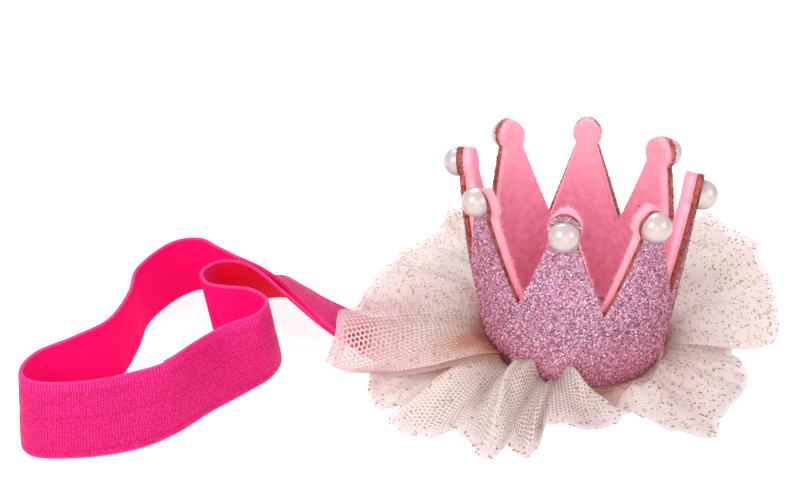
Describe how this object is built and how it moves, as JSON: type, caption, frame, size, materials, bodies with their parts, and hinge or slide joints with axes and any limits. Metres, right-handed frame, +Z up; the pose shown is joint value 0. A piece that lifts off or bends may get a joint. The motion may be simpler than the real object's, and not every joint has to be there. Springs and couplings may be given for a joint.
{
  "type": "mini crown headband",
  "caption": "Small flared felt crown with pearl-tipped points on a gathered tulle ruffle, carried by a loop of flat elastic that goes round a baby's head.",
  "frame": {"origin": "middle of the part's bounding box, at the height of the table that it lies on", "axes": "+X along the headband from the far end of the elastic to the crown, +Y away from the crown's front, +Z up"},
  "size_m": [0.1622, 0.0846, 0.048],
  "materials": {
    "felt": "light pink wool felt",
    "glitter": "coarse pink and lilac glitter sheet with a cut brown backing edge",
    "pearl": "pearl lustre, ivory white",
    "tulle": "fine ivory tulle, gathered",
    "felt_base": "pink felt",
    "elastic": "hot pink fold-over elastic, ribbed outside and smooth inside"
  },
  "bodies": {
    "root": {"crown_felt": "felt", "crown_glitter": "glitter", "pearl_1": "pearl", "pearl_2": "pearl", "pearl_3": "pearl", "pearl_4": "pearl", "pearl_5": "pearl", "pearl_6": "pearl", "pearl_7": "pearl", "pearl_8": "pearl", "ruffle_upper": "tulle", "ruffle_lower": "tulle", "felt_base": "felt_base", "headband": "elastic"}
  },
  "joints": []
}
